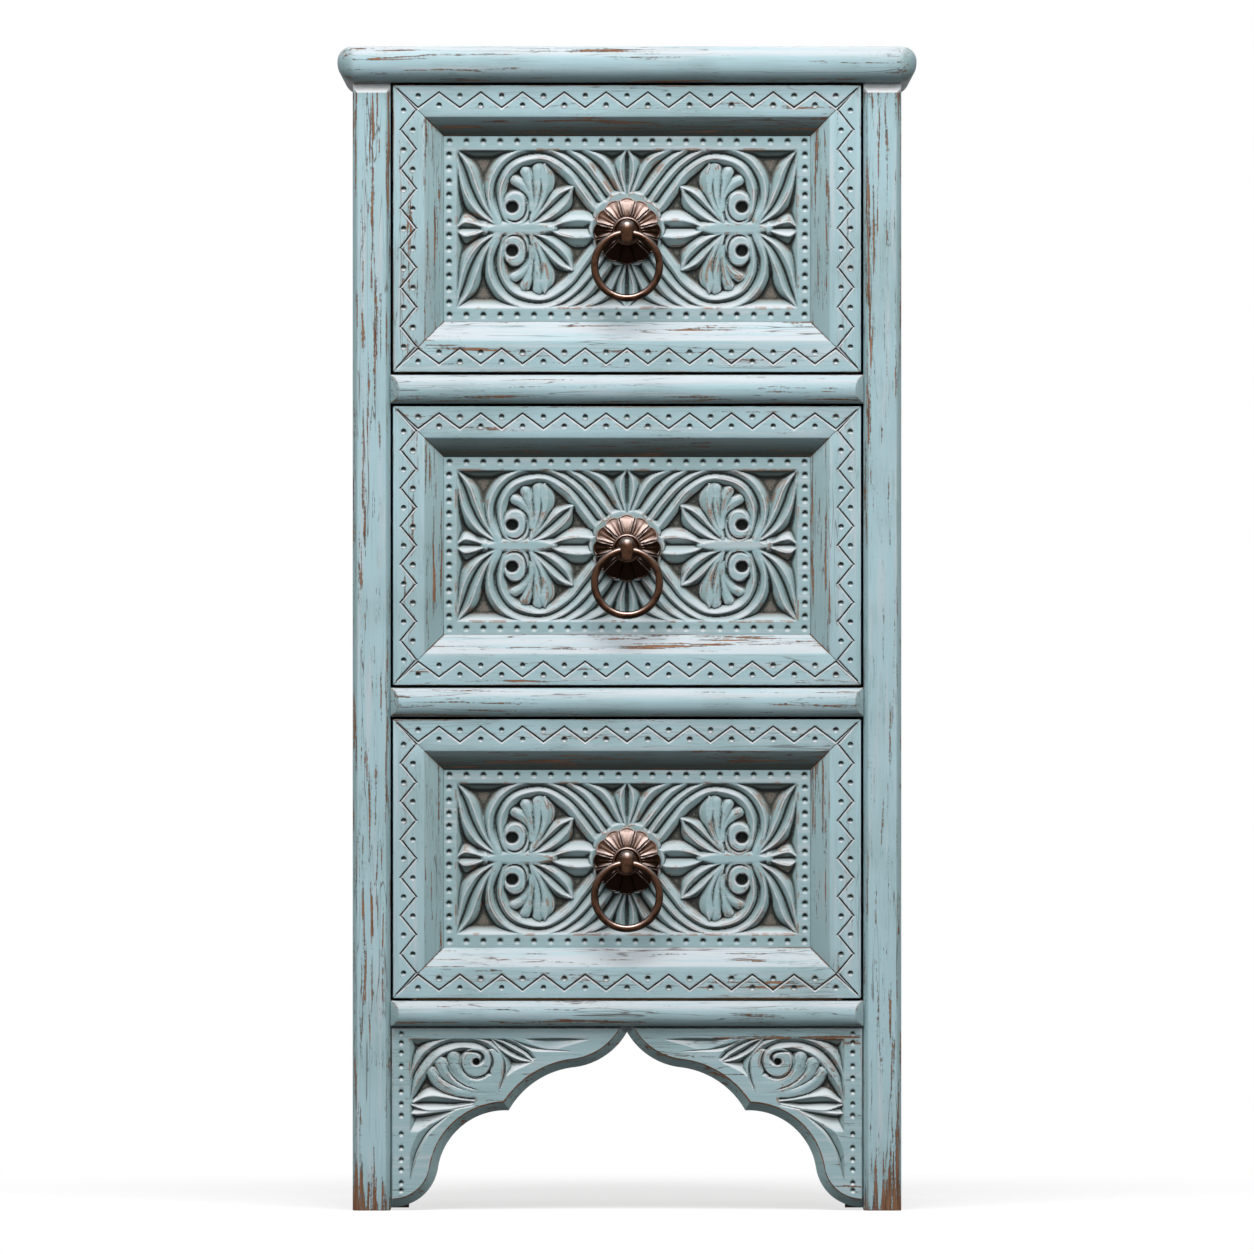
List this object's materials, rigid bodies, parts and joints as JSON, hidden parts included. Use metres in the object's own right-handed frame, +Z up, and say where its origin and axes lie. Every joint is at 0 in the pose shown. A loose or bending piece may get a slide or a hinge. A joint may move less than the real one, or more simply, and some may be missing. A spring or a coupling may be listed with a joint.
{
  "type": "chest of drawers",
  "caption": "Narrow tall chest with carved inset drawers that slide on wooden runners, hanging ring pulls, bullnose top and rails, and a cusped ogee arch between its post legs.",
  "frame": {"origin": "on the floor under the middle of the object's box, with the pulls counted in its depth", "axes": "+Z up, -Y towards the drawer fronts, +X to the right of someone facing them"},
  "size_m": [0.398, 0.3462, 0.8],
  "materials": {
    "blue_paint": "worn matt paint over brown wood, rubbed through on the edges",
    "raw_wood": "planed, unfinished",
    "plywood": "sanded sheet",
    "aged_bronze": "dark patina with rubbed copper edges",
    "zinc_steel": "dull zinc plate"
  },
  "bodies": {
    "carcass": {"back_bottom_rail": "raw_wood", "back_panel": "plywood", "back_top_rail": "raw_wood", "corner_blocks": "raw_wood", "drawer_stops": "raw_wood", "left_front_post": "blue_paint", "left_rear_post": "blue_paint", "left_side_bottom_rail": "blue_paint", "left_side_panel": "blue_paint", "left_side_top_rail": "blue_paint", "left_spandrel": "blue_paint", "lower_front_rail": "blue_paint", "lower_left_runner": "raw_wood", "lower_right_runner": "raw_wood", "middle_front_rail": "blue_paint", "middle_left_runner": "raw_wood", "middle_right_runner": "raw_wood", "right_front_post": "blue_paint", "right_rear_post": "blue_paint", "right_side_bottom_rail": "blue_paint", "right_side_panel": "blue_paint", "right_side_top_rail": "blue_paint", "right_spandrel": "blue_paint", "runner_screws": "zinc_steel", "top_board": "blue_paint", "top_kickers": "raw_wood", "top_screws": "zinc_steel", "upper_front_rail": "blue_paint", "upper_left_runner": "raw_wood", "upper_right_runner": "raw_wood"},
    "upper_drawer": {"upper_drawer_back": "raw_wood", "upper_drawer_bottom": "plywood", "upper_drawer_frame": "blue_paint", "upper_drawer_left_side": "raw_wood", "upper_drawer_panel": "blue_paint", "upper_drawer_right_side": "raw_wood", "upper_pull_knob": "aged_bronze", "upper_pull_nut": "zinc_steel", "upper_pull_rosette": "aged_bronze"},
    "upper_ring": {"upper_pull_ring": "aged_bronze"},
    "middle_drawer": {"middle_drawer_back": "raw_wood", "middle_drawer_bottom": "plywood", "middle_drawer_frame": "blue_paint", "middle_drawer_left_side": "raw_wood", "middle_drawer_panel": "blue_paint", "middle_drawer_right_side": "raw_wood", "middle_pull_knob": "aged_bronze", "middle_pull_nut": "zinc_steel", "middle_pull_rosette": "aged_bronze"},
    "middle_ring": {"middle_pull_ring": "aged_bronze"},
    "lower_drawer": {"lower_drawer_back": "raw_wood", "lower_drawer_bottom": "plywood", "lower_drawer_frame": "blue_paint", "lower_drawer_left_side": "raw_wood", "lower_drawer_panel": "blue_paint", "lower_drawer_right_side": "raw_wood", "lower_pull_knob": "aged_bronze", "lower_pull_nut": "zinc_steel", "lower_pull_rosette": "aged_bronze"},
    "lower_ring": {"lower_pull_ring": "aged_bronze"}
  },
  "joints": [
    {"name": "upper_drawer_slide", "type": "slide", "parent": "carcass", "child": "upper_drawer", "axis": [0, -1, 0], "range_m": [0, 0.23]},
    {"name": "upper_ring_swing", "type": "hinge", "parent": "upper_drawer", "child": "upper_ring", "pos_m": [0, -0.1665, 0.6715], "axis": [-1, 0, 0], "range_deg": [-15, 194]},
    {"name": "middle_drawer_slide", "type": "slide", "parent": "carcass", "child": "middle_drawer", "axis": [0, -1, 0], "range_m": [0, 0.23]},
    {"name": "middle_ring_swing", "type": "hinge", "parent": "middle_drawer", "child": "middle_ring", "pos_m": [0, -0.1665, 0.45365], "axis": [-1, 0, 0], "range_deg": [-15, 194]},
    {"name": "lower_drawer_slide", "type": "slide", "parent": "carcass", "child": "lower_drawer", "axis": [0, -1, 0], "range_m": [0, 0.23]},
    {"name": "lower_ring_swing", "type": "hinge", "parent": "lower_drawer", "child": "lower_ring", "pos_m": [0, -0.1665, 0.23855], "axis": [-1, 0, 0], "range_deg": [-15, 194]}
  ]
}
